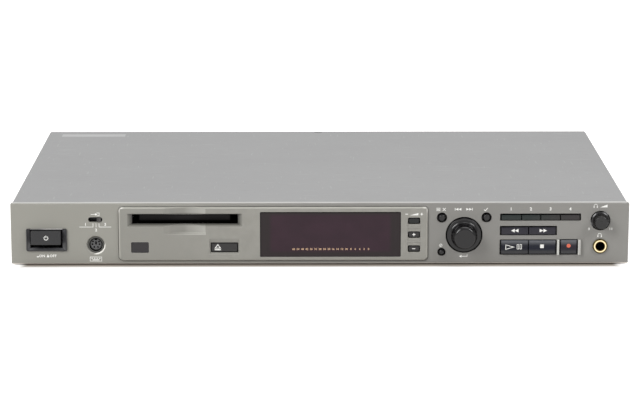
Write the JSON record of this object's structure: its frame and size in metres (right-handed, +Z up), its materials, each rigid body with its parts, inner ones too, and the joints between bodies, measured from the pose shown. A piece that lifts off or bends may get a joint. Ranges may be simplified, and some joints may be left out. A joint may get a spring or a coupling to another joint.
{
  "type": "minidisc deck",
  "caption": "Low full-width slot-loading MiniDisc recorder deck with a raised centre fascia, display, jog dial and transport keys.",
  "frame": {"origin": "under the middle of the whole deck, on the surface it stands on", "axes": "+X along the front to the right of someone facing it, +Y from the front panel to the back, +Z up"},
  "size_m": [0.43, 0.285, 0.044],
  "materials": {
    "panel": "matt warm grey paint",
    "fascia": "matt warm grey moulding",
    "cover_paint": "satin light grey paint",
    "zinc_steel": "zinc plated sheet",
    "rear_paint": "matt grey paint",
    "screw_steel": "plated",
    "foot_rubber": "matt",
    "key_plastic": "satin dark grey",
    "transport_key": "glossy bluish dark grey",
    "knob_plastic": "semi-gloss dark grey",
    "grey_key": "matt warm grey",
    "bezel_plastic": "satin dark grey",
    "flap_plastic": "matt black",
    "window_smoke": "gloss smoked acrylic",
    "sensor_filter": "gloss dark filter",
    "gold_ring": "polished pale gold",
    "socket_black": "matt black",
    "shell_metal": "nickel plated",
    "glass_tube": "clear glass",
    "board_green": "solder mask",
    "core_steel": "varnished laminations",
    "drive_steel": "pressed steel",
    "gear_white": "acetal",
    "motor_can": "drawn can",
    "shaft_steel": "ground",
    "lens_sled": "die cast and plastic",
    "socket_gold": "gold plated"
  },
  "bodies": {
    "chassis": {"base_pan": "zinc_steel", "rear_panel": "rear_paint", "top_cover": "cover_paint", "cover_screws": "screw_steel", "feet": "foot_rubber", "front_panel": "panel", "centre_fascia": "fascia", "display_window": "window_smoke", "sensor_window": "sensor_filter", "power_bezel": "bezel_plastic", "power_switch": "socket_black", "keyboard_socket": "socket_black", "encoder_body": "motor_can", "level_potentiometer": "motor_can", "phones_jack": "socket_black", "phones_ring": "gold_ring", "front_board": "board_green", "display_tube": "glass_tube", "mains_transformer": "core_steel", "power_supply_board": "board_green", "main_board": "board_green", "drive_frame": "drive_steel", "loading_motor": "motor_can", "sled_motor": "motor_can", "spindle_motor": "motor_can", "guide_rods": "shaft_steel", "mains_inlet": "socket_black", "xlr_sockets": "shell_metal", "phono_sockets": "socket_gold", "optical_sockets": "socket_black"},
    "slot_flap": {"slot_flap": "flap_plastic"},
    "power_button": {"power_button": "knob_plastic"},
    "input_lever": {"input_lever": "key_plastic"},
    "eject_button": {"eject_button": "key_plastic"},
    "speed_on_button": {"speed_on_button": "grey_key"},
    "speed_plus_button": {"speed_plus_button": "grey_key"},
    "speed_minus_button": {"speed_minus_button": "grey_key"},
    "menu_button": {"menu_button": "knob_plastic"},
    "yes_button": {"yes_button": "knob_plastic"},
    "clear_button": {"clear_button": "knob_plastic"},
    "encoder_rotor": {"encoder_rotor": "gear_white"},
    "jog_dial": {"jog_dial": "knob_plastic", "jog_shaft": "shaft_steel"},
    "function_key_1": {"function_key_1": "key_plastic"},
    "function_key_2": {"function_key_2": "key_plastic"},
    "function_key_3": {"function_key_3": "key_plastic"},
    "function_key_4": {"function_key_4": "key_plastic"},
    "rewind_key": {"rewind_key": "key_plastic"},
    "forward_key": {"forward_key": "key_plastic"},
    "play_key": {"play_key": "transport_key"},
    "stop_key": {"stop_key": "transport_key"},
    "record_key": {"record_key": "key_plastic"},
    "level_knob": {"level_knob": "knob_plastic"},
    "load_slider": {"load_slider": "drive_steel"},
    "cartridge_holder": {"cartridge_holder": "drive_steel"},
    "loading_gear": {"loading_gear": "gear_white"},
    "turntable": {"turntable": "lens_sled"},
    "optical_sled": {"optical_sled": "lens_sled"},
    "sled_pinion": {"sled_pinion": "gear_white"},
    "head_arm": {"head_arm": "drive_steel"}
  },
  "joints": [
    {"name": "flap_hinge", "type": "hinge", "parent": "chassis", "child": "slot_flap", "pos_m": [-0.0939, -0.1291, 0.0357], "axis": [1, 0, 0], "range_deg": [0, 88], "stiffness_Nm_per_rad": 0.0005},
    {"name": "power_push", "type": "slide", "parent": "chassis", "child": "power_button", "axis": [0, 1, 0], "range_m": [0, 0.003], "stiffness_N_per_m": 400},
    {"name": "input_slide", "type": "slide", "parent": "chassis", "child": "input_lever", "axis": [1, 0, 0], "range_m": [-0.004, 0]},
    {"name": "eject_button_push", "type": "slide", "parent": "chassis", "child": "eject_button", "axis": [0, 1, 0], "range_m": [0, 0.0006], "stiffness_N_per_m": 800},
    {"name": "speed_on_button_push", "type": "slide", "parent": "chassis", "child": "speed_on_button", "axis": [0, 1, 0], "range_m": [0, 0.0006], "stiffness_N_per_m": 800},
    {"name": "speed_plus_button_push", "type": "slide", "parent": "chassis", "child": "speed_plus_button", "axis": [0, 1, 0], "range_m": [0, 0.0006], "stiffness_N_per_m": 800},
    {"name": "speed_minus_button_push", "type": "slide", "parent": "chassis", "child": "speed_minus_button", "axis": [0, 1, 0], "range_m": [0, 0.0006], "stiffness_N_per_m": 800},
    {"name": "menu_button_push", "type": "slide", "parent": "chassis", "child": "menu_button", "axis": [0, 1, 0], "range_m": [0, 0.0006], "stiffness_N_per_m": 800},
    {"name": "yes_button_push", "type": "slide", "parent": "chassis", "child": "yes_button", "axis": [0, 1, 0], "range_m": [0, 0.0006], "stiffness_N_per_m": 800},
    {"name": "clear_button_push", "type": "slide", "parent": "chassis", "child": "clear_button", "axis": [0, 1, 0], "range_m": [0, 0.0006], "stiffness_N_per_m": 800},
    {"name": "function_key_1_push", "type": "slide", "parent": "chassis", "child": "function_key_1", "axis": [0, 1, 0], "range_m": [0, 0.0006], "stiffness_N_per_m": 800},
    {"name": "function_key_2_push", "type": "slide", "parent": "chassis", "child": "function_key_2", "axis": [0, 1, 0], "range_m": [0, 0.0006], "stiffness_N_per_m": 800},
    {"name": "function_key_3_push", "type": "slide", "parent": "chassis", "child": "function_key_3", "axis": [0, 1, 0], "range_m": [0, 0.0006], "stiffness_N_per_m": 800},
    {"name": "function_key_4_push", "type": "slide", "parent": "chassis", "child": "function_key_4", "axis": [0, 1, 0], "range_m": [0, 0.0006], "stiffness_N_per_m": 800},
    {"name": "rewind_key_push", "type": "slide", "parent": "chassis", "child": "rewind_key", "axis": [0, 1, 0], "range_m": [0, 0.0006], "stiffness_N_per_m": 800},
    {"name": "forward_key_push", "type": "slide", "parent": "chassis", "child": "forward_key", "axis": [0, 1, 0], "range_m": [0, 0.0006], "stiffness_N_per_m": 800},
    {"name": "play_key_push", "type": "slide", "parent": "chassis", "child": "play_key", "axis": [0, 1, 0], "range_m": [0, 0.0006], "stiffness_N_per_m": 800},
    {"name": "stop_key_push", "type": "slide", "parent": "chassis", "child": "stop_key", "axis": [0, 1, 0], "range_m": [0, 0.0006], "stiffness_N_per_m": 800},
    {"name": "record_key_push", "type": "slide", "parent": "chassis", "child": "record_key", "axis": [0, 1, 0], "range_m": [0, 0.0006], "stiffness_N_per_m": 800},
    {"name": "dial_turn", "type": "hinge", "parent": "chassis", "child": "encoder_rotor", "pos_m": [0.1003, -0.132, 0.0213], "axis": [0, 1, 0], "continuous": true},
    {"name": "dial_push", "type": "slide", "parent": "encoder_rotor", "child": "jog_dial", "axis": [0, 1, 0], "range_m": [0, 0.0006], "stiffness_N_per_m": 1500},
    {"name": "level_turn", "type": "hinge", "parent": "chassis", "child": "level_knob", "pos_m": [0.1951, -0.132, 0.0314], "axis": [0, 1, 0], "range_deg": [-150, 150]},
    {"name": "load_slide", "type": "slide", "parent": "chassis", "child": "load_slider", "axis": [0, 1, 0], "range_m": [0, 0.01]},
    {"name": "holder_drop", "type": "slide", "parent": "chassis", "child": "cartridge_holder", "axis": [0, 0, -1], "range_m": [0, 0.004]},
    {"name": "loading_gear_turn", "type": "hinge", "parent": "chassis", "child": "loading_gear", "pos_m": [-0.14865, -0.07, 0.016], "axis": [0, 0, 1], "range_deg": [0, 95.49]},
    {"name": "disc_spin", "type": "hinge", "parent": "chassis", "child": "turntable", "pos_m": [-0.0939, -0.084, 0.017], "axis": [0, 0, 1], "continuous": true},
    {"name": "sled_slide", "type": "slide", "parent": "chassis", "child": "optical_sled", "axis": [0, 1, 0], "range_m": [0, 0.015]},
    {"name": "sled_pinion_turn", "type": "hinge", "parent": "chassis", "child": "sled_pinion", "pos_m": [-0.06955, -0.052, 0.018], "axis": [0, 0, 1], "range_deg": [-143.24, 0]},
    {"name": "head_arm_tilt", "type": "hinge", "parent": "optical_sled", "child": "head_arm", "pos_m": [-0.0939, -0.0425, 0.0366], "axis": [1, 0, 0], "range_deg": [0, 9]}
  ],
  "couplings": [
    {"joint": "holder_drop", "follows": "load_slide", "ratio": 0.4},
    {"joint": "loading_gear_turn", "follows": "load_slide", "rad_per_m": 166.67},
    {"joint": "sled_pinion_turn", "follows": "sled_slide", "rad_per_m": -166.67},
    {"joint": "head_arm_tilt", "follows": "load_slide", "rad_per_m": 15.708}
  ]
}
